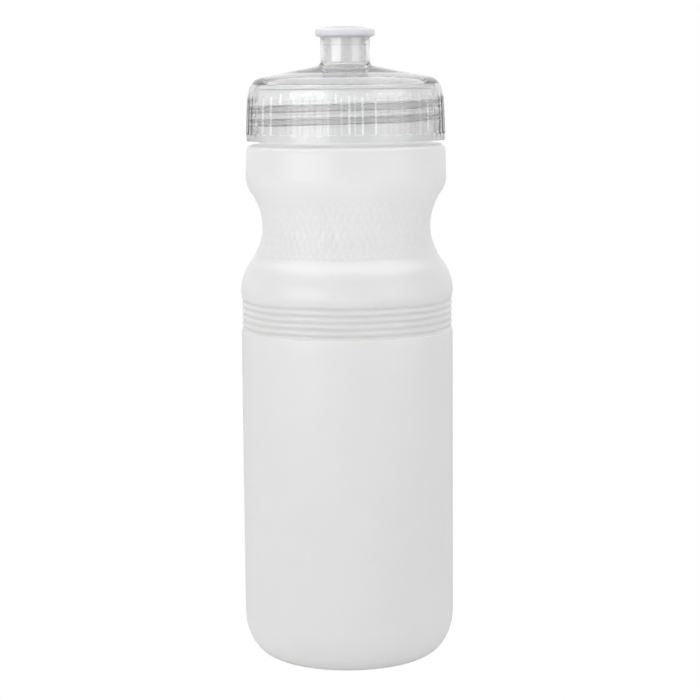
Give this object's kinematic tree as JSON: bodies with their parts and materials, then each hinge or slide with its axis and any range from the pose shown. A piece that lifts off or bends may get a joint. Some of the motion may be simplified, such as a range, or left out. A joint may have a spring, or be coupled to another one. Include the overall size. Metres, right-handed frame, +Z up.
{
  "type": "bicycle water bottle",
  "caption": "Squeeze bottle with a grip waist, a clear ribbed screw lid and a push-pull drinking spout with an inner stopper.",
  "frame": {"origin": "middle of the base, on the plane the bottle stands on", "axes": "+Z up along the bottle's axis, -Y towards the viewer"},
  "size_m": [0.0736, 0.0736, 0.2186],
  "materials": {
    "bottle_wall": "satin, slightly see-through white",
    "lid_clear": "clear, polished",
    "seal_white": "soft, satin",
    "stopper_clear": "clear, polished",
    "spout_milky": "milky, smooth"
  },
  "bodies": {
    "bottle": {"bottle": "bottle_wall"},
    "seal": {"lid_gasket": "seal_white"},
    "lid": {"lid": "lid_clear", "stopper": "stopper_clear"},
    "spout": {"spout": "spout_milky"}
  },
  "joints": [
    {"name": "lid_rise", "type": "slide", "parent": "bottle", "child": "seal", "axis": [0, 0, 1], "range_m": [0, 0.0074]},
    {"name": "lid_turn", "type": "hinge", "parent": "seal", "child": "lid", "pos_m": [0, 0, 0.19], "axis": [0, 0, 1], "range_deg": [0, 600]},
    {"name": "spout_slide", "type": "slide", "parent": "lid", "child": "spout", "axis": [0, 0, 1], "range_m": [0, 0.006]}
  ],
  "couplings": [
    {"joint": "lid_rise", "follows": "lid_turn", "m_per_rad": 0.00070028}
  ]
}
